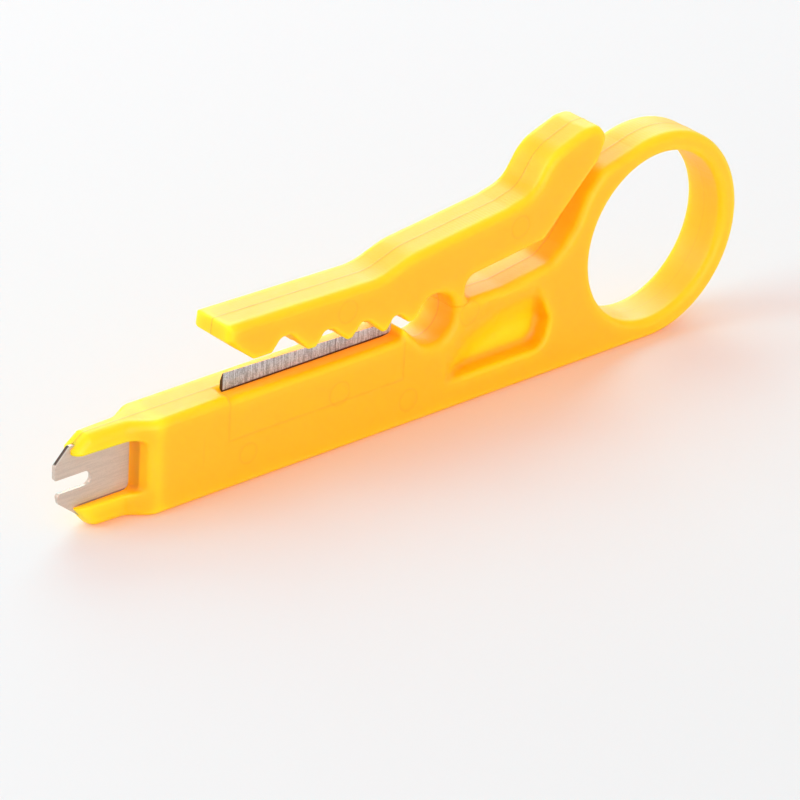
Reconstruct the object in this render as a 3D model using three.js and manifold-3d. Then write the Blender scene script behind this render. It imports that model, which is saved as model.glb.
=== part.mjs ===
// Punch down tool: a flat yellow moulding with a finger ring, a punch-down blade in its nose
// and a wire stripper whose arm swings on a living hinge.
// Everything is drawn from the centre of the finger ring: x along the tool, z up, y through it.
// The last lines move it so that the origin is under its middle.
import * as THREE from "three";
import { mergeVertices } from "three/addons/utils/BufferGeometryUtils.js";
import Module from "manifold-3d";

const wasm = await Module();
wasm.setup();

// Driving dimensions, in millimetres.
const THICKNESS = 5.8;
const RING_RADIUS = 11.85;
const RING_HOLE_RADIUS = 9.56;
const BODY_TOP = -1.33;
const EDGE_ROUND = 0.8;
const TOOL_LENGTH = 90.2;
const TIP_X = RING_RADIUS - TOOL_LENGTH;

// Nose and punch-down blade.
const NOSE_X = -76.75;
const TAPER_START_X = -67.1;
const TAPER_END_X = -70.8;
const TAPER_BEND_X = -69;
const NOSE_HALF = 1.5;
const NOSE_TIP_HALF = 1.3;
const WINDOW_TOP = -3.3;
const WINDOW_BOTTOM = -9.15;
const WINDOW_TOP_X = -69.3;
const WINDOW_BOTTOM_X = -69;
const PUNCH_HALF = 0.25;
const PUNCH_END_X = -60;
const PUNCH_TOP = -2.3;
const PUNCH_BOTTOM = -10.35;
const SLOT_TOP = -5.64;
const SLOT_BOTTOM = -7.21;
const SLOT_END_X = -73.77;

// Wire stripper.
const STRIP_FRONT = -0.7;
const STRIP_BACK = -0.25;
const STRIP_LEFT = -57.75;
const STRIP_RIGHT = -35.4;
const STRIP_BOTTOM = -6.5;
const LEDGE_Z = -1.6;
const LEDGE_START_X = -58.1;
const RIDGE_X = -35.8;
const HOLE = new THREE.Vector2(-31.2, -0.75);
const HOLE_RADIUS = 2.8;
const GROOVE_FRONT = -0.9;
const GROOVE_BACK = -0.05;

// Living hinge, between the round hole and the slot behind it.
const WEB_LOW_Z = -0.15;
const WEB_HIGH_Z = 1.55;
const SLOT_CENTRE = new THREE.Vector2(-25.7, 1.55);
const SLOT_RADIUS = 1.3;

// The moulding is one piece. These planes divide its handle into nodes of simple shape.
const NOSE_CUT_X = -66;
const BLOCK_CUT_X = -35;
const RING_CUT_X = -10.6;

// Side pockets.
const POCKET_DEPTH = 2.05;
const POCKET_SLOPE = 0.45;
const POCKET_ROUND = 2;
const POCKET_LOW = -8.4;
const POCKET_HIGH = -1;
const POCKET_DOWNHILL = new THREE.Vector3(0.441, 0, -0.897).normalize();
const POCKET_START = new THREE.Vector3(-20.2, 0, -0.7);

const yellow = () =>
  new THREE.MeshStandardMaterial({ color: 0xffb81c, roughness: 0.42, metalness: 0 });
const steel = () =>
  new THREE.MeshStandardMaterial({ color: 0xb9b4b4, roughness: 0.34, metalness: 1 });

// A three.js geometry as a closed solid.
function solid(geometry) {
  const g = geometry.index ? geometry.toNonIndexed() : geometry.clone();
  g.deleteAttribute("normal");
  g.deleteAttribute("uv");
  const merged = mergeVertices(g, 1e-4);
  return new wasm.Manifold(
    new wasm.Mesh({
      numProp: 3,
      vertProperties: merged.attributes.position.array,
      triVerts: new Uint32Array(merged.index.array),
    }),
  );
}

// An outline in x and z, given thickness from y = front to y = back, with rounded rims if asked.
function plate(shape, front, back, round = 0) {
  const geometry = new THREE.ExtrudeGeometry(shape, {
    depth: back - front - 2 * round,
    curveSegments: 10,
    bevelEnabled: round > 0,
    bevelThickness: round,
    bevelSize: round,
    bevelOffset: -round,
    bevelSegments: 3,
  });
  geometry.rotateX(Math.PI / 2);
  geometry.translate(0, back - round, 0);
  return solid(geometry);
}

// A straight-sided outline through corner points.
const outline = (...points) => new THREE.Shape(points.map(([x, z]) => new THREE.Vector2(x, z)));

const box = (x0, x1, y0, y1, z0, z1) =>
  solid(
    new THREE.BoxGeometry(x1 - x0, y1 - y0, z1 - z0).translate(
      (x0 + x1) / 2,
      (y0 + y1) / 2,
      (z0 + z1) / 2,
    ),
  );

// A round bar through the thickness, wide enough to cut right through.
function bar(x, z, radius, front = -THICKNESS, back = THICKNESS) {
  const geometry = new THREE.CylinderGeometry(radius, radius, back - front, 48);
  return solid(geometry.translate(x, (front + back) / 2, z));
}

function part(name, shape, material) {
  const m = shape.getMesh();
  const geometry = new THREE.BufferGeometry();
  geometry.setAttribute("position", new THREE.BufferAttribute(m.vertProperties, 3));
  geometry.setIndex(new THREE.BufferAttribute(m.triVerts, 1));
  geometry.computeVertexNormals();
  const mesh = new THREE.Mesh(geometry, material);
  mesh.name = name;
  return mesh;
}

const HALF = THICKNESS / 2;

// The steel blades.
function punchBlade() {
  const s = new THREE.Shape();
  s.moveTo(TIP_X + 0.05, -4.01);
  s.lineTo(-76.63, PUNCH_TOP);
  s.lineTo(PUNCH_END_X, PUNCH_TOP);
  s.lineTo(PUNCH_END_X, PUNCH_BOTTOM);
  s.lineTo(-75.12, PUNCH_BOTTOM);
  s.lineTo(-75.83, -9.85);
  s.lineTo(-77.74, -8.29);
  s.lineTo(-77.94, -7.54);
  s.quadraticCurveTo(-77.9, SLOT_BOTTOM, -77.55, SLOT_BOTTOM);
  const slotRadius = (SLOT_TOP - SLOT_BOTTOM) / 2;
  const slotMiddle = (SLOT_TOP + SLOT_BOTTOM) / 2;
  s.absarc(SLOT_END_X - slotRadius, slotMiddle, slotRadius, -Math.PI / 2, Math.PI / 2, false);
  s.lineTo(-78.05, SLOT_TOP);
  s.quadraticCurveTo(TIP_X, SLOT_TOP, TIP_X, -5.35);
  s.lineTo(TIP_X, -4.06);
  return plate(s, -PUNCH_HALF, PUNCH_HALF);
}

function stripBlade() {
  const s = new THREE.Shape();
  s.moveTo(STRIP_LEFT, STRIP_BOTTOM);
  s.lineTo(STRIP_RIGHT, STRIP_BOTTOM);
  s.lineTo(STRIP_RIGHT, -0.36);
  s.lineTo(-42, -0.18);
  s.lineTo(-49, 0.05);
  s.lineTo(STRIP_LEFT, 0.29);
  return plate(s, STRIP_FRONT, STRIP_BACK);
}

// The handle's lower edge and nose, whose rims are rounded. It is left tall behind the nose.
function handleBlank() {
  const s = new THREE.Shape();
  s.moveTo(0, -RING_RADIUS);
  s.lineTo(-72, -RING_RADIUS);
  s.quadraticCurveTo(-74.3, -RING_RADIUS, -75.3, -10.3);
  s.quadraticCurveTo(-76.5, -9.1, NOSE_X, -7.8);
  s.lineTo(NOSE_X, -2.6);
  s.lineTo(-74.9, BODY_TOP);
  s.lineTo(-59.5, BODY_TOP);
  s.lineTo(-58, 20);
  s.lineTo(0, 20);
  return plate(s, -HALF, HALF, EDGE_ROUND);
}

// The handle's upper edge: a ledge under the arm, the ridge that ends the jaw, the floor of the
// slot behind the hinge, and the neck of the ring.
function handleTop() {
  const s = new THREE.Shape();
  s.moveTo(0, -20);
  s.lineTo(-90, -20);
  s.lineTo(-90, BODY_TOP);
  s.lineTo(RIDGE_X, BODY_TOP);
  s.lineTo(RIDGE_X, -0.35);
  s.lineTo(RIDGE_X + 0.2, -0.4);
  s.lineTo(-33.5, -2.4);
  s.lineTo(HOLE.x - 0.6, -1.6);
  s.lineTo(HOLE.x + 1.2, WEB_LOW_Z);
  s.lineTo(SLOT_CENTRE.x, WEB_LOW_Z);
  s.quadraticCurveTo(-25, 0.2, -24, 0.2);
  s.quadraticCurveTo(-18.8, 0.3, -16.3, 0.95);
  s.quadraticCurveTo(-14.6, 1.4, -13.6, 2.1);
  s.quadraticCurveTo(-12.6, 2.8, -12.1, 4.0);
  s.lineTo(-11.1, 6.1);
  s.quadraticCurveTo(-10, 8.5, -8.2, 9.9);
  s.lineTo(0, 9.9);
  return plate(s, -HALF - 1, HALF + 1);
}

// The nose gets thinner in a smooth step: this is what is left of the thickness, seen from above.
function noseTaper() {
  const s = new THREE.Shape();
  const far = TAPER_END_X - 8;
  s.moveTo(5, -HALF - 1);
  s.lineTo(5, HALF + 1);
  s.lineTo(TAPER_START_X, HALF + 1);
  s.lineTo(TAPER_START_X, HALF);
  s.bezierCurveTo(TAPER_BEND_X, HALF, TAPER_BEND_X, NOSE_HALF, TAPER_END_X, NOSE_HALF);
  s.lineTo(far, NOSE_TIP_HALF);
  s.lineTo(far, -NOSE_TIP_HALF);
  s.lineTo(TAPER_END_X, -NOSE_HALF);
  s.bezierCurveTo(TAPER_BEND_X, -NOSE_HALF, TAPER_BEND_X, -HALF, TAPER_START_X, -HALF);
  s.lineTo(TAPER_START_X, -HALF - 1);
  const geometry = new THREE.ExtrudeGeometry(s, {
    depth: 40,
    curveSegments: 10,
    bevelEnabled: false,
  });
  return solid(geometry.translate(0, 0, -20));
}

// The D-shaped scoops in the two sides. Their floors slope down from a soft diagonal edge and
// leave a web in the middle.
function pockets() {
  const s = new THREE.Shape();
  s.moveTo(-29.4, POCKET_LOW);
  s.lineTo(-17.4, POCKET_LOW);
  s.absarc(-17.4, POCKET_LOW + POCKET_ROUND, POCKET_ROUND, -Math.PI / 2, 0, false);
  s.quadraticCurveTo(-15, -4.9, -16.6, -1.9);
  s.quadraticCurveTo(-17.1, POCKET_HIGH, -19.5, POCKET_HIGH);
  s.lineTo(-29.4, POCKET_HIGH);
  const web = HALF - POCKET_DEPTH;
  const high = 4;
  const start = (HALF - high) / POCKET_SLOPE;
  const full = POCKET_DEPTH / POCKET_SLOPE;
  const core = outline(
    [-20, -high],
    [start, -high],
    [full, -web],
    [30, -web],
    [30, web],
    [full, web],
    [start, high],
    [-20, high],
  );
  const kept = new THREE.ExtrudeGeometry(core, { depth: 60, bevelEnabled: false });
  kept.translate(0, 0, -30);
  const across = new THREE.Vector3(0, 1, 0);
  const along = new THREE.Vector3().crossVectors(POCKET_DOWNHILL, across);
  kept.applyMatrix4(new THREE.Matrix4().makeBasis(POCKET_DOWNHILL, across, along));
  kept.translate(...POCKET_START);
  return plate(s, -HALF - 1, HALF + 1).subtract(solid(kept));
}

// The round hole under the living hinge opens into the slit between the arm and the ridge.
const hole = bar(HOLE.x, HOLE.y, HOLE_RADIUS);

function handle() {
  let body = handleBlank().intersect(handleTop()).intersect(noseTaper());
  const window = outline(
    [-90, WINDOW_TOP],
    [WINDOW_TOP_X, WINDOW_TOP],
    [WINDOW_BOTTOM_X, WINDOW_BOTTOM],
    [-90, WINDOW_BOTTOM],
  );
  body = body.subtract(plate(window, -HALF - 1, -PUNCH_HALF));
  body = body.subtract(plate(window, PUNCH_HALF, HALF + 1));
  const slot = box(-90, PUNCH_END_X, -PUNCH_HALF, PUNCH_HALF, PUNCH_BOTTOM, PUNCH_TOP);
  body = body.subtract(slot);
  body = body.subtract(box(LEDGE_START_X, RIDGE_X, -HALF - 1, STRIP_FRONT, LEDGE_Z, 5));
  body = body.subtract(box(STRIP_LEFT, STRIP_RIGHT, STRIP_FRONT, STRIP_BACK, STRIP_BOTTOM, 5));
  return body.subtract(hole).subtract(pockets());
}

// The ring, with the foot of the tool that runs into it.
function ring() {
  const s = new THREE.Shape();
  s.moveTo(RING_CUT_X - 2, -RING_RADIUS);
  s.lineTo(0, -RING_RADIUS);
  s.absarc(0, 0, RING_RADIUS, -Math.PI / 2, Math.PI * 0.66, false);
  s.quadraticCurveTo(-8.6, 9.6, -9.6, 8.4);
  s.quadraticCurveTo(-10.9, 6.5, -11.6, 5.08);
  s.lineTo(RING_CUT_X - 2, 2);
  const body = plate(s, -HALF, HALF, EDGE_ROUND);
  // The hole has rounded rims like the outside.
  const wide = RING_HOLE_RADIUS + EDGE_ROUND;
  const far = HALF + 1;
  const steps = 4;
  const rim = [];
  for (let i = 0; i <= steps; i++) {
    const angle = (Math.PI / 2) * (i / steps);
    const across = wide - EDGE_ROUND * Math.sin(angle);
    const along = HALF - EDGE_ROUND + EDGE_ROUND * Math.cos(angle);
    rim.push(new THREE.Vector2(across, along));
  }
  const profile = [
    new THREE.Vector2(0, -far),
    new THREE.Vector2(wide, -far),
    ...rim.map((p) => new THREE.Vector2(p.x, -p.y)),
    ...rim.reverse(),
    new THREE.Vector2(wide, far),
    new THREE.Vector2(0, far),
  ];
  return body
    .subtract(solid(new THREE.LatheGeometry(profile, 64)))
    .intersect(box(RING_CUT_X, 20, -10, 10, -20, 30));
}

// The stripper arm: four teeth on its underside, a living hinge behind, and a thumb tab.
function armBlank() {
  const s = new THREE.Shape();
  s.moveTo(-58.75, 6.42);
  s.lineTo(-58.9, 4.8);
  s.lineTo(-55.6, 2.2);
  s.lineTo(-55.0, 1.95);
  s.lineTo(-53.0, 1.95);
  s.quadraticCurveTo(-52.3, 3.2, -51.1, 3.2);
  s.lineTo(-50.6, 3.0);
  s.lineTo(-48.5, 1.2);
  s.lineTo(-48.1, 0.97);
  s.lineTo(-47.6, 0.95);
  s.quadraticCurveTo(-46.7, 2.25, -45.7, 2.25);
  s.lineTo(-45.1, 2.0);
  s.lineTo(-43.4, 0.62);
  s.lineTo(-43.0, 0.47);
  s.lineTo(-42.6, 0.52);
  s.quadraticCurveTo(-41.7, 1.85, -40.8, 1.82);
  s.lineTo(-40.3, 1.5);
  s.lineTo(-38.6, 0.02);
  s.lineTo(-38.0, -0.1);
  s.quadraticCurveTo(-37.3, 1.25, -36.5, 1.25);
  s.lineTo(-36.0, 1.0);
  s.lineTo(-35.0, 0.22);
  s.lineTo(-34.3, 0.15);
  s.lineTo(-33.1, 1.45);
  s.lineTo(HOLE.x, WEB_HIGH_Z);
  s.lineTo(SLOT_CENTRE.x, WEB_HIGH_Z);
  s.lineTo(SLOT_CENTRE.x, SLOT_CENTRE.y + SLOT_RADIUS);
  s.lineTo(-22.4, 3.28);
  s.lineTo(-17.56, 3.98);
  s.quadraticCurveTo(-16.2, 3.95, -15.5, 5.0);
  s.lineTo(-9.3, 11.3);
  s.quadraticCurveTo(-8.5, 12.4, -8.56, 13.4);
  s.quadraticCurveTo(-8.8, 15.3, -10.6, 15.35);
  s.quadraticCurveTo(-14.8, 14.6, -16.9, 12.2);
  s.quadraticCurveTo(-18.3, 9.5, -20.6, 9.2);
  s.lineTo(-34.3, 7.5);
  s.lineTo(-38.8, 6.05);
  return s;
}

// The tips of the teeth are grooved along the stripping blade, so that they straddle its edge.
function arm() {
  const groove = outline([-59.5, -1], [-35, -1], [-35, 0.25], [-38, 0.5], [-59.5, 2.1]);
  return plate(armBlank(), -HALF, HALF)
    .subtract(plate(groove, GROOVE_FRONT, GROOVE_BACK))
    .subtract(bar(SLOT_CENTRE.x, SLOT_CENTRE.y, SLOT_RADIUS))
    .subtract(hole);
}

// The web that bends: it joins the arm to the handle between the hole and the slot.
function web() {
  const s = outline(
    [HOLE.x + 0.4, WEB_LOW_Z],
    [SLOT_CENTRE.x, WEB_LOW_Z],
    [SLOT_CENTRE.x, WEB_HIGH_Z],
    [HOLE.x + 0.4, WEB_HIGH_Z],
  );
  return plate(s, -HALF, HALF)
    .subtract(hole)
    .subtract(bar(SLOT_CENTRE.x, SLOT_CENTRE.y, SLOT_RADIUS));
}

// One length of the handle, between two planes across it.
const length = (from, to) => handle().intersect(box(from, to, -10, 10, -20, 30));

const tool = new THREE.Group();
tool.name = "punch_down_tool";
tool.add(part("nose", length(-100, NOSE_CUT_X), yellow()));
tool.add(part("handle_bar", length(NOSE_CUT_X, BLOCK_CUT_X), yellow()));
tool.add(part("hinge_block", length(BLOCK_CUT_X, RING_CUT_X), yellow()));
tool.add(part("finger_ring", ring(), yellow()));
tool.add(part("stripper_arm", arm(), yellow()));
tool.add(part("living_hinge", web(), yellow()));
tool.add(part("punch_down_blade", punchBlade(), steel()));
tool.add(part("stripping_blade", stripBlade(), steel()));
tool.position.set(TOOL_LENGTH / 2 - RING_RADIUS, 0, RING_RADIUS);

export default tool;
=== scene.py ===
"""Punch down tool: a yellow insert-moulded body with two steel blades.

Lengths are in millimetres from the centre of the finger ring, x along the tool, z up and y
through its thickness, until place() turns them into the frame's metres.
Each piece is a signed distance field, negative inside, that is sampled on a fine grid and
meshed. That rounds every rim the way a mould does and lets small relief be part of the shape.
"""

import math

import bpy
import numpy as np
import openvdb
from mathutils import Matrix, Vector


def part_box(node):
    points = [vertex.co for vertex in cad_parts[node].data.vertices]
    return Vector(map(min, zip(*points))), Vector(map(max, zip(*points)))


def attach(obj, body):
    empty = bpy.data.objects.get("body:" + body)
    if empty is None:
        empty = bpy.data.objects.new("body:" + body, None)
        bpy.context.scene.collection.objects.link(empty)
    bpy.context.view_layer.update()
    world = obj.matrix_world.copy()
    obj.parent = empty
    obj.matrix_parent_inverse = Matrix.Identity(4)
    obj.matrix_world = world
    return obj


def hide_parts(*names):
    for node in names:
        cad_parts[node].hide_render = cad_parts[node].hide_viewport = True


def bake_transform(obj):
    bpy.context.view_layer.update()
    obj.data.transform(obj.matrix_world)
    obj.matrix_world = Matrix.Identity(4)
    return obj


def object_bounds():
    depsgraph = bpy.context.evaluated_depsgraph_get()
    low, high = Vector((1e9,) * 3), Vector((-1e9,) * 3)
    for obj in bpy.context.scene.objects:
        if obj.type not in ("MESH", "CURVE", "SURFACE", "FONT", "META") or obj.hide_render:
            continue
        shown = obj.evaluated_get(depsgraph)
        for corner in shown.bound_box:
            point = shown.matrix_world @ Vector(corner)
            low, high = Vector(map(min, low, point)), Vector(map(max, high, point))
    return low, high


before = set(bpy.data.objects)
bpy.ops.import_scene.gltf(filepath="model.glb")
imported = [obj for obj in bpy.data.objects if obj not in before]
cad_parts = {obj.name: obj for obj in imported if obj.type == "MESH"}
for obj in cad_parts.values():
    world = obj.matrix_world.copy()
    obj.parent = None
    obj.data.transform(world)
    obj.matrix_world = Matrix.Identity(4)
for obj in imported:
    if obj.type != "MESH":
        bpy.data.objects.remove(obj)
cad_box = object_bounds()

MM = 0.001

# The ring's box in the frame gives the drawing's origin and the main sizes.
ring_low, ring_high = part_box("finger_ring")
RING_RADIUS = (ring_high.z - ring_low.z) / 2 / MM
RING_CENTRE = Vector((ring_high.x / MM - RING_RADIUS, 0, ring_high.z / MM - RING_RADIUS))
HALF = ring_high.y / MM
TIP_X = cad_box[0][0] / MM - RING_CENTRE.x

# Moulding. SKIN keeps the surface just inside the CAD solids.
RING_HOLE_RADIUS = 9.56
BODY_TOP = -1.33
ARM_TOP = 15.7
SKIN = 0.03
HOLE_X, HOLE_Z, HOLE_RADIUS = -31.2, -0.75, 2.8

# Rims are generous everywhere but in a box round the jaw and its teeth.
RIM = 0.85
FINE_RIM = 0.35
JAW_X, JAW_Z = -45.5, 2.0
JAW_HALF_LENGTH, JAW_HALF_HEIGHT = 11.5, 2.1
JAW_FADE = 1.6

# Ledge for the stripping blade.
LEDGE_Z = -1.6
LEDGE_LEFT = -58.1
LEDGE_RIM = 0.8
LEDGE_END = 1.0

# Web between arm and handle: the two ends of the seam across it.
SEAM_LEFT = (-29.5, -0.5)
SEAM_RIGHT = (-25.4, 0.32)

# Lines that the mould leaves: the parting line, and on the near side the rings of ejector pins
# (x, z, radius), the outline of the buried stripping blade and a scribed line.
PARTING_HEIGHT = 0.045
PARTING_WIDTH = 0.09
PARTING_SOFTNESS = 0.5
LINE_DEPTH = 0.035
# How dark the fine lines on the near side are painted: painted shade in their shallow grooves.
LINE_PAINTED_SHADE = 0.18
EJECTORS = [
    (-44.0, -5.2, 1.3),
    (-26.6, -1.2, 1.3),
    (-34.5, -8.8, 1.2),
    (-55.8, -8.3, 1.1),
    (-43.4, 3.8, 1.2),
    (-20.2, 6.8, 1.2),
]
BURIED_X, BURIED_Z = -46.9, -2.0
BURIED_HALF_LENGTH, BURIED_HALF_HEIGHT = 11.5, 4.2
SCRIBE_X = -61.6

# Nose, with the window that shows the punch blade.
SHOULDER_X = -67.1
SHOULDER_LENGTH = 3.4
SHOULDER_HALF = 1.5
TIP_HALF = 1.25
TIP_TAPER = 7.0
NOSE_OFFSET = 0.1
NOSE_RIM = 1.1
WINDOW_LOW = -9.15
WINDOW_HIGH = -3.3
WINDOW_END_X = -69.15
WINDOW_DRAFT = 0.4

# Pocket, whose floor slopes down from the soft end to the full depth.
POCKET_DEPTH = 2.05
POCKET_RUN = 5.8
POCKET_FILLET = 0.9
POCKET_RIM = 0.55

# Blades.
PUNCH_HALF = 0.25
PUNCH_TOP = -2.3
PUNCH_LOW = -10.35
PUNCH_END_X = -60
PUNCH_SHOWN_X = -66.6
TIP_Z = -4.01
SEAT_X, SEAT_Z = -76.0, -9.0
STRIP_FRONT, STRIP_BACK = -0.7, -0.25
STRIP_LEFT, STRIP_RIGHT = -57.75, -35.4
RIDGE_X = -35.8
GROOVE_FRONT, GROOVE_BACK = -0.9, -0.05
STRIP_BOTTOM = -6.5
STRIP_SHOWN_Z = -3.5
BEVEL_COSINE, BEVEL_SINE, BEVEL_LAND = 0.94, 0.35, 0.06
SCORE_X = -42.9

# Grids.
MARGIN = 0.3
BODY_VOXEL = 0.11
BLADE_VOXEL = 0.055

# How much plastic lies round a point sets the plastic's painted light and shade, lighter yellow on
# thin walls and edges, deeper orange in corners and recesses: reaches in mm, painted light as a
# share.
CROWD_REACH = 2.0
THROUGH_REACH = 0.9
POCKET_PAINTED_LIGHT = 0.22
SHOULDER_PAINTED_HIGHLIGHT = 0.13

# Colours.
# Plastic ramp: painted light on thin walls and edges, painted shade in crowded corners and
# recesses.
PAINTED_LIGHT_YELLOW = (1.0, 0.70, 0.004)
THIN_PAINTED_LIGHT_YELLOW = (0.99, 0.54, 0.004)
PAINTED_SHADE_ORANGE = (0.95, 0.43, 0.002)
# Mark colours: the parting and scored lines, and painted shade and shadow on walls, grooves and
# blade edges.
DARK_PLASTIC = (0.45, 0.22, 0.01)
DARK_STEEL = (0.06, 0.03, 0.02)
PAPER = (0.725, 0.731, 0.737, 1)
WHITE = (1, 1, 1)
WORLD_STRENGTH = 0.55

# The share of each lamp's red, green and blue that gets through the plastic to the paper.
THROUGH = (0.72, 0.1, 0.0)

# Textures, as noise scales per metre. NOISE_SHIFT keeps the lattice off the middle plane.
CLOUD_SCALE = 160.0
FLOW_SCALE = 900.0
GRAIN_SCALE = 5200.0
PATCH_SCALE = 110.0
RIB_SCALE = 785.0
LONG_LINE_SCALE = 2600.0
PIT_SCALE = 3800.0
DIRT_SCALE = 1800.0
SPECKLE_SCALE = 9000.0
NOISE_SHIFT = (0.0013, 0.0041, 0.0027)

# Camera: azimuth, elevation and roll in degrees, and its place in drawing millimetres.
CAMERA_ANGLES = (-42.8456, 27.1345, 3.1963)
CAMERA_SPOT = (-355.135, -347.298, 232.313)
CAMERA_LENS = 233.03


# ---------------------------------------------------------------- outlines and fields

def rounded(corners, steps=8):
    """A closed outline whose corners (x, z, radius) are rounded with arcs."""
    points = []
    count = len(corners)
    for i, (x, z, radius) in enumerate(corners):
        here = np.array((x, z), float)
        before = np.array(corners[i - 1][:2], float) - here
        after = np.array(corners[(i + 1) % count][:2], float) - here
        a, b = before / np.linalg.norm(before), after / np.linalg.norm(after)
        half_angle = math.acos(np.clip(a @ b, -1, 1)) / 2
        if radius <= 0 or half_angle > math.pi / 2 - 0.01:
            points.append(tuple(here))
            continue
        reach = radius / math.tan(half_angle)
        reach = min(reach, np.linalg.norm(before) * 0.49, np.linalg.norm(after) * 0.49)
        radius = reach * math.tan(half_angle)
        middle = here + (a + b) / np.linalg.norm(a + b) * radius / math.sin(half_angle)
        start = here + a * reach - middle
        end = here + b * reach - middle
        turn = math.atan2(start[0] * end[1] - start[1] * end[0], start @ end)
        for k in range(steps + 1):
            t = turn * k / steps
            c, s = math.cos(t), math.sin(t)
            points.append((middle[0] + c * start[0] - s * start[1],
                           middle[1] + s * start[0] + c * start[1]))
    return points


def outline_distance(points, x, z):
    """Distance to a closed outline on a grid of x by z, negative inside."""
    gx, gz = np.meshgrid(x, z, indexing="ij")
    nearest = np.full(gx.shape, 1e9)
    inside = np.zeros(gx.shape, bool)
    for (ax, az), (bx, bz) in zip(points, points[1:] + points[:1]):
        ex, ez = bx - ax, bz - az
        length = ex * ex + ez * ez
        if length < 1e-12:
            continue
        t = np.clip(((gx - ax) * ex + (gz - az) * ez) / length, 0, 1)
        nearest = np.minimum(nearest, (gx - ax - t * ex) ** 2 + (gz - az - t * ez) ** 2)
        if az != bz:
            inside ^= ((az > gz) != (bz > gz)) & (gx < ax + (gz - az) * ex / ez)
    return np.where(inside, -1.0, 1.0) * np.sqrt(nearest)


def smoothstep(t):
    """0 to 1 with soft ends as t goes from 0 to 1."""
    t = np.clip(t, 0, 1)
    return t * t * (3 - 2 * t)


def meet(a, b, width):
    """Where two fields are both inside, with the corner between them rounded by width."""
    k = np.maximum(width - np.abs(a - b), 0) / width
    return np.maximum(a, b) + k * k * width / 4


def thick(flat, side, half, rim):
    """An outline's field given thickness: side is how far from the middle, half the limit."""
    across = flat[:, None, :] + rim
    up = side - half + rim
    outside = np.hypot(np.maximum(across, 0), np.maximum(up, 0))
    return np.minimum(np.maximum(across, up), 0) + outside - rim


def bump_line(distance, width, height):
    """A soft ridge of a width and height where distance is 0."""
    return height * np.exp(-(distance / width) ** 2)


def grid(low, high, voxel):
    """The three axes of a grid that fills a box."""
    return [np.arange(a, b, voxel) for a, b in zip(low, high)]


def place(points):
    """Drawing millimetres to the frame's metres."""
    return (np.asarray(points) + np.array(RING_CENTRE)) * MM


def blur(values, count, passes):
    """Values averaged over a window of count grid points each way, along one axis per pass."""
    for axis in passes:
        margin = [(0, 0)] * 3
        margin[axis] = (count + 1, count)
        total = np.moveaxis(np.cumsum(np.pad(values, margin), axis=axis), axis, 0)
        window = (total[2 * count + 1:] - total[:-2 * count - 1]) / (2 * count + 1)
        values = np.moveaxis(window, 0, axis)
    return values


def crowding(field, voxel):
    """How much plastic is round each grid point, from 0 to 1: thin walls and edges have little.

    The plastic's colour paints light where it is low and shade where it is high.
    """
    solid = np.clip(0.5 - field / voxel, 0, 1).astype(np.float32)
    near = blur(solid, int(CROWD_REACH / voxel / 2), (0, 1, 2, 0, 1, 2))
    through = np.minimum(solid.sum(1, keepdims=True) * voxel / (2 * HALF), 1)
    through = blur(through, int(THROUGH_REACH / voxel / 2), (0, 2, 0, 2))
    return near * (0.5 + 0.5 * through)


def read(values, places):
    """A grid's values at places between its points."""
    corner = np.floor(places).astype(int)
    part = places - corner
    total = np.zeros(len(places))
    for step in np.ndindex(2, 2, 2):
        share = np.prod(np.where(step, part, 1 - part), axis=1)
        i, j, k = (corner + step).T
        total += share * values[i, j, k]
    return total.astype(np.float32)


def piece(name, field, axes, material, marks, crowd=None, sharp=55):
    """The surface where a field is zero, as one smooth mesh.

    marks(x, y, z) gives each vertex its share of darkening, from 0 to 1, for the material, and
    crowd is a grid that tells the material how much plastic is round each vertex.
    """
    volume = openvdb.FloatGrid(background=float(field.max()))
    volume.copyFromArray(np.ascontiguousarray(field, dtype=np.float32))
    points, quads = volume.convertToQuads(0.0)
    voxel = axes[0][1] - axes[0][0]
    origin = np.array([axis[0] for axis in axes])
    points = origin + points * voxel
    corners = points[quads]
    normals = np.cross(corners[:, 2] - corners[:, 0], corners[:, 3] - corners[:, 1])
    if (corners.mean(1) * normals).sum() < 0:
        quads = quads[:, ::-1]
    mesh = bpy.data.meshes.new(name)
    mesh.vertices.add(len(points))
    mesh.vertices.foreach_set("co", place(points).astype(np.float32).ravel())
    mesh.loops.add(quads.size)
    mesh.loops.foreach_set("vertex_index", quads.astype(np.int32).ravel())
    mesh.polygons.add(len(quads))
    mesh.polygons.foreach_set("loop_start", np.arange(0, quads.size, 4, dtype=np.int32))
    mesh.update(calc_edges=True)
    mesh.validate()
    mesh.polygons.foreach_set("use_smooth", np.ones(len(mesh.polygons), bool))
    mesh.set_sharp_from_angle(angle=math.radians(sharp))
    mark = mesh.attributes.new("mark", "FLOAT", "POINT")
    mark.data.foreach_set("value", marks(*points.T).astype(np.float32))
    if crowd is not None:
        around = mesh.attributes.new("crowd", "FLOAT", "POINT")
        around.data.foreach_set("value", read(crowd, (points - origin) / voxel))
    obj = bpy.data.objects.new(name, mesh)
    bpy.context.scene.collection.objects.link(obj)
    mesh.materials.append(material)
    return obj


# ---------------------------------------------------------------- the moulding

def handle_outline():
    """The handle in side view, from under the ring round the nose and back to the ring."""
    return rounded([
        (0, -RING_RADIUS, 0),
        (-74.0, -RING_RADIUS, 2.0),
        (-76.45, -8.85, 0.6),
        (-76.45, -6.0, 0),
        (-76.55, -2.6, 0.35),
        (-74.75, BODY_TOP, 0.7),
        (RIDGE_X, BODY_TOP, 0.1),
        (RIDGE_X, -0.15, 0.25),
        (-33.2, -2.6, 0),
        (HOLE_X, HOLE_Z, 0),
        (-28.0, 0.7, 0),
        (-26.4, 0.24, 0),
        (-21.5, 0.2, 6),
        (-15.2, 1.2, 2.2),
        (-13.4, 2.6, 1.6),
        (-11.9, 4.4, 3),
        (-10.4, 7.6, 3),
        (-8.3, 10.0, 3),
        (-4.0, 11.15, 0),
        (0, 0, 0),
    ])


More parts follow.
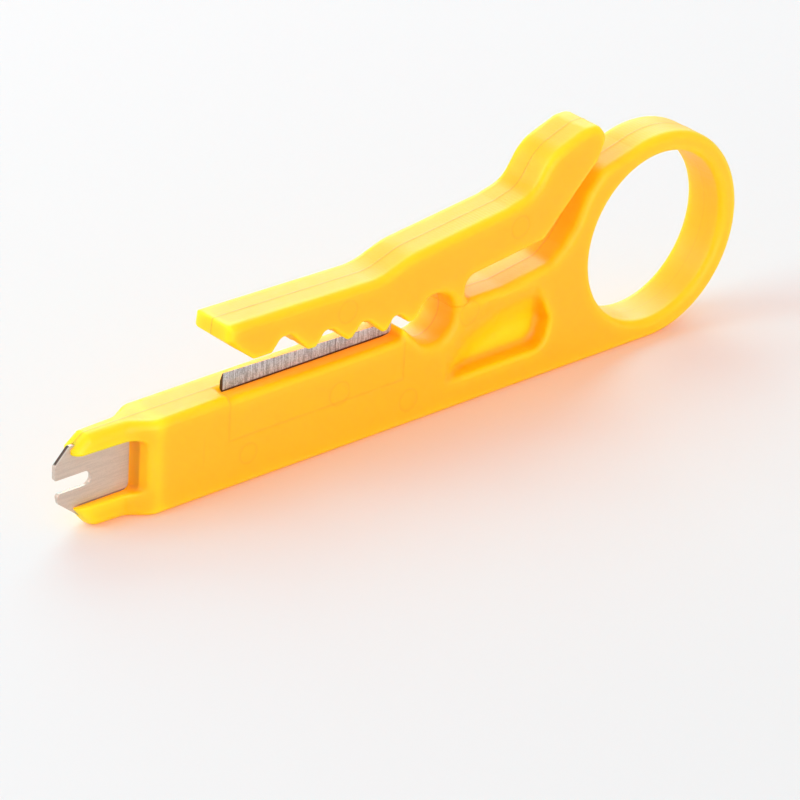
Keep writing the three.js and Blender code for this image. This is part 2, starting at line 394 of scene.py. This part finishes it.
def arm_outline():
    """The arm in side view: along the teeth, round the web, up the tab and back on top."""
    return rounded([
        (-58.75, 6.42, 0.25),
        (-58.95, 4.7, 0.3),
        (-55.45, 1.95, 0.7),
        (-53.15, 1.95, 0.35),
        (-52.0, 3.3, 0.75),
        (-50.75, 3.35, 0.7),
        (-48.35, 0.95, 0.35),
        (-47.35, 0.92, 0.35),
        (-46.2, 2.45, 0.75),
        (-45.2, 2.3, 0.6),
        (-43.1, 0.47, 0.35),
        (-42.5, 0.57, 0.3),
        (-41.3, 2.0, 0.7),
        (-40.4, 1.8, 0.55),
        (-38.4, -0.02, 0.3),
        (-37.85, 0.03, 0.25),
        (-37.0, 1.3, 0.5),
        (-36.2, 1.3, 0.5),
        (-34.85, 0.05, 0.3),
        (-34.2, 0.12, 0.3),
        (-33.1, 1.45, 0.15),
        (HOLE_X, HOLE_Z, 0),
        (-28.6, -1.0, 0),
        (-24.9, -0.9, 0),
        (-24.9, 0.22, 0),
        (-27.02, 0.22, 1.3),
        (-27.02, 2.72, 1.3),
        (-18.8, 3.78, 3),
        (-16.4, 4.1, 0.9),
        (-9.2, 11.4, 1.8),
        (-8.2, 13.9, 1.8),
        (-9.4, 15.33, 1.4),
        (-11.2, 15.31, 2),
        (-15.9, 13.6, 5),
        (-18.3, 9.95, 3.2),
        (-21.5, 9.1, 3),
        (-34.5, 7.5, 8),
        (-38.6, 6.05, 8),
    ])


def arm_zone():
    """What belongs to the arm: its edge runs in free air, but for the seam across the web."""
    return [
        (-70, 30), (-70, -0.8), (-37.0, -0.6), (-36.2, 0.5), (-35.2, -0.3), (-33.5, -0.9),
        SEAM_LEFT, SEAM_RIGHT, (-24.5, 1.4),
        (-17, 2.7), (-14.6, 3.6), (-11.2, 8.6), (-7.4, 12.3), (-5, 20), (-5, 30),
    ]


def shoulder(x):
    """0 on the bar, 1 on the thinner nose."""
    return smoothstep((SHOULDER_X - x) / SHOULDER_LENGTH)


def half_thickness(x):
    """Half the moulding's thickness along the tool."""
    half = HALF - (HALF - SHOULDER_HALF) * shoulder(x)
    to_tip = np.clip((SHOULDER_X - SHOULDER_LENGTH - x) / TIP_TAPER, 0, 1)
    return half - (SHOULDER_HALF - TIP_HALF) * to_tip


def window_end(y):
    """Where the nose window ends: its end wall leans back towards the faces."""
    return WINDOW_END_X + WINDOW_DRAFT * (np.abs(y) - PUNCH_HALF)


def pocket_outlines():
    """The pocket's wall, and the line past which its floor starts to slope down."""
    wall = rounded([
        (-29.45, -8.35, 0.5),
        (-15.6, -8.35, 2.0),
        (-14.95, -5.2, 1.5),
        (-17.0, -0.9, 0.8),
        (-24.0, -0.6, 0),
        (-29.45, -5.0, 0.8),
    ])
    soft = rounded([
        (-12.0, 0.4, 0),
        (-22.4, -0.6, 3),
        (-27.6, -2.7, 3),
        (-30.6, -6.2, 2),
        (-30.6, -20, 0),
        (-5, -20, 0),
        (-5, 0.4, 0),
    ])
    return wall, soft


def pocket_floor(x, z):
    """Distance to the pocket's wall and the depth of its sloping floor, on a grid of x by z."""
    wall, soft = pocket_outlines()
    run = -outline_distance(soft, x, z) / POCKET_RUN
    return outline_distance(wall, x, z), POCKET_DEPTH * smoothstep(run)


def moulding_field(axes):
    """The whole moulding with its pockets and nose window, before arm and handle are parted."""
    x, y, z = axes
    gx, gz = np.meshgrid(x, z, indexing="ij")
    from_centre = np.hypot(gx, gz)
    handle = np.minimum(outline_distance(handle_outline(), x, z), from_centre - RING_RADIUS)
    flat = np.minimum(handle, outline_distance(arm_outline(), x, z))
    hole = HOLE_RADIUS - np.hypot(gx - HOLE_X, gz - HOLE_Z)
    flat = np.maximum(np.maximum(flat, RING_HOLE_RADIUS - from_centre), hole) + SKIN
    past_jaw = np.maximum(np.abs(gx - JAW_X) - JAW_HALF_LENGTH,
                          np.abs(gz - JAW_Z) - JAW_HALF_HEIGHT)
    rim = FINE_RIM + (RIM - FINE_RIM) * smoothstep(past_jaw / JAW_FADE)
    rim += (NOSE_RIM - RIM) * shoulder(gx)
    side = np.abs(y[None, :, None] - NOSE_OFFSET * shoulder(x)[:, None, None])
    field = thick(flat, side, half_thickness(x)[:, None, None] - SKIN, rim[:, None, :])
    seam = bump_line(y, PARTING_WIDTH, PARTING_HEIGHT)[None, :, None]
    field -= seam * parting_share(gx, gz)[:, None, :]
    wall, depth = pocket_floor(x, z)
    above_floor = (HALF - depth)[:, None, :] - np.abs(y)[None, :, None]
    pocket = meet(wall[:, None, :], above_floor, POCKET_FILLET)
    field = meet(field, -pocket, POCKET_RIM)
    rows = np.maximum(WINDOW_LOW - z, z - WINDOW_HIGH)[None, None, :]
    end = x[:, None, None] - window_end(y)[None, :, None]
    window = np.maximum(meet(rows, end, 0.9), PUNCH_HALF - 0.3 - np.abs(y)[None, :, None])
    field = meet(field, -window, 0.2)
    return field


def box_field(axes, low, high):
    """A box as a field."""
    far = None
    for i, axis in enumerate(axes):
        side = np.maximum(low[i] - axis, axis - high[i])
        shape = [1, 1, 1]
        shape[i] = -1
        side = side.reshape(shape)
        far = side if far is None else np.maximum(far, side)
    return far


def face_lines(x, z):
    """Fine marks on the near side face, 0 to 1: ejector pins and the outlines of buried steel."""
    lines = np.zeros(x.shape)
    for px, pz, radius in EJECTORS:
        away = np.hypot(x - px, z - pz) - radius
        lines += bump_line(away, 0.11, 0.8)
    buried = np.maximum(np.abs(x - BURIED_X) - BURIED_HALF_LENGTH,
                        np.abs(z - BURIED_Z) - BURIED_HALF_HEIGHT)
    lines += bump_line(buried, 0.12, 1.0) * smoothstep((BODY_TOP - z) / 0.3)
    scribe = bump_line(x - SCRIBE_X, 0.1, 0.6)
    scribe *= smoothstep((z + 9.0) / 2) * smoothstep((-4.0 - z) / 2)
    return lines + scribe


def parting_share(x, z):
    """How plain the mould's parting line is: it is dressed away inside the finger ring."""
    return 0.25 + 0.75 * smoothstep((np.hypot(x, z) - RING_HOLE_RADIUS) / PARTING_SOFTNESS - 1)


def near_side(y):
    """1 on the side face that the camera sees, fading to 0 past its rim."""
    return smoothstep((-y - 0.8 * HALF) / 0.3)


def moulding_marks(x, y, z):
    """The moulding's dark marks: parting line, painted shade on the window end wall, and painted
    shade in the fine marks on its side.
    """
    parting_and_wall_shade = bump_line(y, 0.06, 0.8) * parting_share(x, z)
    # Painted shade on the nose window's end wall, a recess that lies in shade.
    in_window = smoothstep((WINDOW_HIGH + 0.1 - z) / 0.3) * smoothstep((z - WINDOW_LOW + 0.1) / 0.3)
    in_window *= smoothstep((1.6 - np.abs(y)) / 0.3)
    parting_and_wall_shade += bump_line(x - window_end(y), 0.3, 0.7) * in_window
    return np.clip(parting_and_wall_shade + LINE_PAINTED_SHADE * face_lines(x, z) * near_side(y), 0, 1)


def ledge_field(axes):
    """The step cut into the near side of the bar's top, which bares the stripping blade."""
    x, y, z = axes
    ledge = meet((x - RIDGE_X)[:, None], (LEDGE_Z - z)[None, :], LEDGE_END)
    ledge = np.maximum(ledge, (LEDGE_LEFT - x)[:, None])
    return np.maximum(ledge[:, None, :], (y - STRIP_FRONT)[None, :, None])


def groove_field(axes):
    """The groove in the tooth tips, which lets the arm close over the stripping blade."""
    x, _, z = axes
    groove = box_field(axes, (-60, GROOVE_FRONT, -1), (-35, GROOVE_BACK, 30))
    top = outline_distance([(-60, -5), (-35, -5), (-35, 0.25), (-38, 0.5), (-60, 2.1)], x, z)
    return np.maximum(groove, top[:, None, :])


def painted_light_field(axes):
    """Painted light on the pockets' thin floors and a painted highlight band on the nose's
    shoulder.
    """
    x, _, z = axes
    wall, depth = pocket_floor(x, z)
    pocket = POCKET_PAINTED_LIGHT * smoothstep(-wall / 1.1) * smoothstep(2 * depth / POCKET_DEPTH)
    return pocket[:, None, :] + bump_line(x - SHOULDER_X, 0.9, SHOULDER_PAINTED_HIGHLIGHT)[:, None, None]


def make_moulding(material):
    """The moulding as two pieces: handle and ring, and the arm with the web that bends."""
    low = (TIP_X + 1.0, -HALF - MARGIN, -RING_RADIUS - MARGIN)
    high = (RING_RADIUS + MARGIN, HALF + MARGIN, ARM_TOP)
    axes = grid(low, high, BODY_VOXEL)
    x, y, z = axes
    field = moulding_field(axes)
    lines = face_lines(*np.meshgrid(x, z, indexing="ij"))
    field += LINE_DEPTH * lines[:, None, :] * near_side(y)[None, :, None]
    punch = box_field(axes, (-90, -PUNCH_HALF, PUNCH_LOW), (PUNCH_END_X, PUNCH_HALF, PUNCH_TOP))
    strip = box_field(axes, (STRIP_LEFT, STRIP_FRONT, STRIP_BOTTOM), (STRIP_RIGHT, STRIP_BACK, 0.5))
    zone = outline_distance(arm_zone(), x, z)[:, None, :]
    handle = np.maximum(meet(field, -zone, 0.01), -punch)
    handle = np.maximum(meet(handle, -ledge_field(axes), LEDGE_RIM), -strip)
    arm = np.maximum(np.maximum(field, zone), -groove_field(axes))
    # The painted light and highlight make the pocket floors and the nose's shoulder yellower.
    crowd = crowding(np.minimum(handle, arm), BODY_VOXEL) - painted_light_field(axes)
    handle = piece("moulding_handle_and_ring", handle, axes, material, moulding_marks, crowd)
    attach(handle, "handle")
    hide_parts("nose", "handle_bar", "hinge_block", "finger_ring")
    arm = piece("moulding_arm_and_hinge", arm, axes, material, moulding_marks, crowd)
    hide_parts("stripper_arm", "living_hinge")
    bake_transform(arm)


# ---------------------------------------------------------------- the blades

def make_punch_blade(material):
    outline = rounded([
        (TIP_X + SKIN, -5.64, 0.3),
        (TIP_X + SKIN, TIP_Z, 0.1),
        (-76.63, PUNCH_TOP, 0.2),
        (PUNCH_END_X, PUNCH_TOP, 0),
        (PUNCH_END_X, PUNCH_LOW, 0),
        (-75.12, PUNCH_LOW, 0.2),
        (-77.74, -8.29, 0.25),
        (-78.03, -7.21, 0.35),
        (-73.77, -7.21, 0.785),
        (-73.77, -5.64, 0.785),
    ])
    axes = grid((TIP_X - 0.2, -0.55, -10.7), (-66, 0.55, -2.0), BLADE_VOXEL)
    x, y, z = axes
    flat = outline_distance(outline, x, z)
    field = thick(flat, np.abs(y)[None, :, None], PUNCH_HALF - 0.01, 0.07)
    field = np.maximum(field, (x - PUNCH_SHOWN_X)[:, None, None])

    def painted_chamfer_and_seat_shade(px, py, pz):
        """Painted dark reflection on the edge of the chamfer, and painted shadow where the plate
        sits in the plastic.
        """
        past_edge = (px - TIP_X) * 0.7 - (pz - TIP_Z) * 0.71
        chamfer = smoothstep((0.12 - np.abs(past_edge)) / 0.08) * smoothstep((pz + 4.0) / 0.2)
        chamfer *= smoothstep((0.21 - np.abs(py)) / 0.06)
        seat = smoothstep((SEAT_Z - pz) / 0.06) * smoothstep(px - SEAT_X)
        return np.maximum(chamfer, 0.6 * seat)

    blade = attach(piece("punch_down_blade_steel", field, axes, material, painted_chamfer_and_seat_shade), "handle")
    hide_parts("punch_down_blade")


def make_strip_blade(material):
    top = [(STRIP_LEFT + 0.01, 0.28), (-49, 0.04), (-42, -0.19), (STRIP_RIGHT, -0.37)]
    outline = top + [(STRIP_RIGHT, STRIP_SHOWN_Z), (STRIP_LEFT + 0.01, STRIP_SHOWN_Z)]
    low = (STRIP_LEFT - MARGIN, -0.9, -3.7)
    high = (STRIP_RIGHT + MARGIN, -0.05, 0.5)
    axes = grid(low, high, BLADE_VOXEL)
    x, y, z = axes
    flat = outline_distance(outline, x, z)
    middle = (STRIP_FRONT + STRIP_BACK) / 2
    half = (STRIP_BACK - STRIP_FRONT) / 2 - 0.01
    field = thick(flat, np.abs(y - middle)[None, :, None], half, 0.04)
    edge = np.interp(x, [p[0] for p in top], [p[1] for p in top])
    above_edge = (z[None, :] - edge[:, None])[:, None, :]
    behind_face = (y - STRIP_FRONT)[None, :, None]
    bevel = BEVEL_COSINE * behind_face + BEVEL_SINE * above_edge - BEVEL_LAND
    field = np.maximum(field, bevel)

    def ledge_shadow_and_score(px, py, pz):
        """Painted shadow along the lower edge where it meets the ledge, darker on the left end, and
        dark at the scored line.
        """
        low = smoothstep((LEDGE_Z + 0.05 - pz) / 0.08)
        end = smoothstep((STRIP_LEFT + 0.12 - px) / 0.08)
        return np.maximum(np.maximum(low, end), bump_line(px - SCORE_X, 0.06, 0.6))

    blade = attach(piece("stripping_blade_steel", field, axes, material, ledge_shadow_and_score), "handle")
    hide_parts("stripping_blade")


# ---------------------------------------------------------------- materials

def new_material(name):
    material = bpy.data.materials.new(name)
    material.use_nodes = True
    tree = material.node_tree
    return material, tree, tree.nodes["Principled BSDF"]


def node(tree, kind, **settings):
    made = tree.nodes.new(kind)
    for key, value in settings.items():
        if key.startswith("in_"):
            made.inputs[key[3:]].default_value = value
        else:
            setattr(made, key, value)
    return made


def marked(tree, colour, dark):
    """A colour that goes to dark where the mesh is marked."""
    mark = node(tree, "ShaderNodeAttribute", attribute_name="mark")
    mix = node(tree, "ShaderNodeMix", data_type="RGBA")
    tree.links.new(mark.outputs["Fac"], mix.inputs["Factor"])
    tree.links.new(colour, mix.inputs["A"])
    mix.inputs["B"].default_value = tuple(dark) + (1,)
    return mix.outputs["Result"]


def ramp(tree, value, *stops):
    """A colour that follows a value through stops of (position, colour)."""
    made = node(tree, "ShaderNodeValToRGB")
    elements = made.color_ramp.elements
    for position, _ in stops[1:-1]:
        elements.new(position)
    for element, (position, colour) in zip(elements, stops):
        element.position = position
        element.color = tuple(colour) + (1,)
    tree.links.new(value, made.inputs["Fac"])
    return made.outputs["Color"]


def spread(tree, value, low, high):
    """A value from 0 to 1 stretched to go from low to high."""
    made = node(tree, "ShaderNodeMapRange")
    made.inputs["To Min"].default_value = low
    made.inputs["To Max"].default_value = high
    tree.links.new(value, made.inputs["Value"])
    return made.outputs["Result"]


def arithmetic(tree, operation, *values):
    made = node(tree, "ShaderNodeMath", operation=operation)
    for i, value in enumerate(values):
        if isinstance(value, (int, float)):
            made.inputs[i].default_value = value
        else:
            tree.links.new(value, made.inputs[i])
    return made.outputs["Value"]


def noise(tree, where, scale, detail=3.0, stretch=(1, 1, 1)):
    """Noise in the object's own space, drawn out where stretch is small."""
    made = node(tree, "ShaderNodeTexNoise", in_Scale=scale, in_Detail=detail)
    turn = node(tree, "ShaderNodeMapping")
    turn.inputs["Scale"].default_value = stretch
    turn.inputs["Location"].default_value = NOISE_SHIFT
    tree.links.new(where.outputs["Object"], turn.inputs["Vector"])
    tree.links.new(turn.outputs["Vector"], made.inputs["Vector"])
    return made.outputs["Fac"]


def tool_marks(tree, where):
    """Cutter marks of the mould on the rim faces: fine ribs across, in patches, and long lines."""
    ribs = node(tree, "ShaderNodeTexWave", in_Scale=RIB_SCALE, in_Distortion=1.2)
    ribs.inputs["Detail Scale"].default_value = 3.0
    ribs.bands_direction = "X"
    tree.links.new(where.outputs["Object"], ribs.inputs["Vector"])
    patches = noise(tree, where, PATCH_SCALE, 1.0)
    patchy = spread(tree, arithmetic(tree, "SUBTRACT", patches, 0.48), 0.0, 3.0)
    patchy = arithmetic(tree, "MINIMUM", arithmetic(tree, "MAXIMUM", patchy, 0.0), 1.0)
    long_lines = noise(tree, where, LONG_LINE_SCALE, 2.0, (0.05, 1, 0.05))
    pits = noise(tree, where, PIT_SCALE, 3.0)
    faint = arithmetic(tree, "MULTIPLY", patchy, 0.6)
    both = arithmetic(tree, "MULTIPLY", ribs.outputs["Fac"], faint)
    both = arithmetic(tree, "ADD", both, arithmetic(tree, "ADD", long_lines, pits))
    normal = node(tree, "ShaderNodeSeparateXYZ")
    tree.links.new(where.outputs["Normal"], normal.inputs["Vector"])
    sideways = arithmetic(tree, "ABSOLUTE", normal.outputs["Y"])
    rim = arithmetic(tree, "SUBTRACT", 1.0, arithmetic(tree, "MULTIPLY", sideways, 1.6))
    return arithmetic(tree, "MULTIPLY", both, arithmetic(tree, "MAXIMUM", rim, 0.0))


def yellow_plastic():
    """Translucent yellow plastic with painted light and shade: more orange where there is more of
    it round a point, as painted shade, and yellower on thin walls and edges, as painted light.
    """
    material, tree, shader = new_material("yellow_plastic")
    link = tree.links.new
    where = node(tree, "ShaderNodeTexCoord")
    cloud = noise(tree, where, CLOUD_SCALE)
    grain = noise(tree, where, GRAIN_SCALE, 2.0)
    flow = noise(tree, where, FLOW_SCALE, 4.0)
    crowd = node(tree, "ShaderNodeAttribute", attribute_name="crowd").outputs["Fac"]
    crowd = arithmetic(tree, "ADD", crowd, spread(tree, cloud, -0.03, 0.03))
    # Painted light and shade: lit yellow on thin walls and edges, shaded orange in corners and
    # recesses.
    colour = ramp(tree, crowd, (0.12, PAINTED_LIGHT_YELLOW), (0.33, THIN_PAINTED_LIGHT_YELLOW), (0.75, PAINTED_SHADE_ORANGE))
    link(marked(tree, colour, DARK_PLASTIC), shader.inputs["Base Color"])
    link(spread(tree, flow, 0.36, 0.52), shader.inputs["Roughness"])
    fine = node(tree, "ShaderNodeBump", in_Strength=0.12, in_Distance=0.00004)
    link(grain, fine.inputs["Height"])
    cut = node(tree, "ShaderNodeBump", in_Strength=0.55, in_Distance=0.00003)
    link(tool_marks(tree, where), cut.inputs["Height"])
    link(fine.outputs["Normal"], cut.inputs["Normal"])
    link(cut.outputs["Normal"], shader.inputs["Normal"])
    shader.inputs["Subsurface Weight"].default_value = 1.0
    shader.inputs["Subsurface Radius"].default_value = (1.0, 0.7, 0.03)
    shader.inputs["Subsurface Scale"].default_value = 0.003
    shader.inputs["Specular IOR Level"].default_value = 0.4
    return material


def steel(name, low, high, stretch, scale, metal):
    """Bare steel with fine marks drawn out along one direction."""
    material, tree, shader = new_material(name)
    link = tree.links.new
    where = node(tree, "ShaderNodeTexCoord")
    marks = noise(tree, where, scale, 5.0, stretch)
    dirt = noise(tree, where, DIRT_SCALE, 4.0)
    speckle = noise(tree, where, SPECKLE_SCALE, 2.0)
    both = arithmetic(tree, "ADD", arithmetic(tree, "MULTIPLY", marks, 0.6),
                      arithmetic(tree, "MULTIPLY", speckle, 0.4))
    colour = ramp(tree, both, (0.42, low), (0.57, high))
    link(marked(tree, colour, DARK_STEEL), shader.inputs["Base Color"])
    link(spread(tree, dirt, 0.26, 0.5), shader.inputs["Roughness"])
    bump = node(tree, "ShaderNodeBump", in_Strength=0.4, in_Distance=0.00003)
    link(marks, bump.inputs["Height"])
    link(bump.outputs["Normal"], shader.inputs["Normal"])
    shader.inputs["Metallic"].default_value = metal
    return material


# ---------------------------------------------------------------- stage

def make_floor():
    bpy.ops.mesh.primitive_plane_add(size=6, location=(0, 0, cad_box[0][2]))
    floor = bpy.context.object
    floor.name = "floor"
    material, tree, shader = new_material("floor_paper")
    shader.inputs["Base Color"].default_value = PAPER
    shader.inputs["Roughness"].default_value = 0.9
    shader.inputs["Specular IOR Level"].default_value = 0.1
    floor.data.materials.append(material)


def lamp(name, place_at, size, power, colour, shadow):
    """A square lamp that faces the origin."""
    data = bpy.data.lights.new(name, "AREA")
    data.size = size
    data.energy = power
    data.color = colour
    data.use_shadow = shadow
    data.cycles.use_multiple_importance_sampling = shadow
    light = bpy.data.objects.new(name, data)
    bpy.context.scene.collection.objects.link(light)
    light.location = place_at
    light.rotation_euler = place_at.to_track_quat("Z", "Y").to_euler()


def soft_light(name, azimuth, elevation, distance, size, power, through):
    """A square light that faces the tool from a compass direction and a height, in degrees.

    Orange light goes through the thin yellow plastic and the paper under it glows, so the
    orange part of each light is a lamp of its own that casts no shadow.
    """
    a, e = math.radians(azimuth), math.radians(elevation)
    away = Vector((math.sin(a) * math.cos(e), -math.cos(a) * math.cos(e), math.sin(e)))
    shadowed = tuple(1 - v for v in through)
    if any(shadowed):
        lamp(name, away * distance, size, power, shadowed, True)
    lamp(name + "_through_plastic", away * distance, size, power, through, False)


def make_world():
    world = bpy.data.worlds.new("studio")
    world.use_nodes = True
    background = world.node_tree.nodes["Background"]
    background.inputs["Color"].default_value = WHITE + (1,)
    background.inputs["Strength"].default_value = WORLD_STRENGTH
    bpy.context.scene.world = world


def make_camera():
    """Long lens from the front left, a little above."""
    azimuth, elevation, roll = (math.radians(v) for v in CAMERA_ANGLES)
    back = Vector((math.sin(azimuth) * math.cos(elevation),
                   -math.cos(azimuth) * math.cos(elevation),
                   math.sin(elevation)))
    right = (-back).cross(Vector((0, 0, 1))).normalized()
    up = right.cross(-back)
    tilted_right = math.cos(roll) * right + math.sin(roll) * up
    tilted_up = -math.sin(roll) * right + math.cos(roll) * up
    spot = (Vector(CAMERA_SPOT) + RING_CENTRE) * MM
    data = bpy.data.cameras.new("camera")
    data.sensor_width = 36
    data.lens = CAMERA_LENS
    data.clip_start = 0.05
    data.clip_end = 20
    camera = bpy.data.objects.new("camera", data)
    bpy.context.scene.collection.objects.link(camera)
    turn = Matrix((tilted_right, tilted_up, back)).transposed()
    camera.matrix_world = Matrix.Translation(spot) @ turn.to_4x4()
    bpy.context.scene.camera = camera


make_camera()
make_world()
make_floor()
soft_light("window", 140, 28, distance=1.0, size=0.7, power=5.2, through=THROUGH)
soft_light("top", 160, 50, distance=1.0, size=0.7, power=1.5, through=THROUGH)
soft_light("side", -115, 35, distance=0.9, size=0.6, power=4.8, through=THROUGH)
soft_light("front", -10, 14, distance=1.2, size=0.9, power=6.8, through=WHITE)
bpy.context.scene.view_settings.view_transform = "Standard"

make_moulding(yellow_plastic())
make_punch_blade(steel("blade_steel", low=(0.53, 0.44, 0.37), high=(0.60, 0.50, 0.42),
                       stretch=(0.08, 1, 1), scale=5000.0, metal=0.25))
make_strip_blade(steel("ground_steel", low=(0.28, 0.31, 0.35), high=(0.62, 0.68, 0.75),
                       stretch=(1, 1, 0.1), scale=6000.0, metal=0.4))
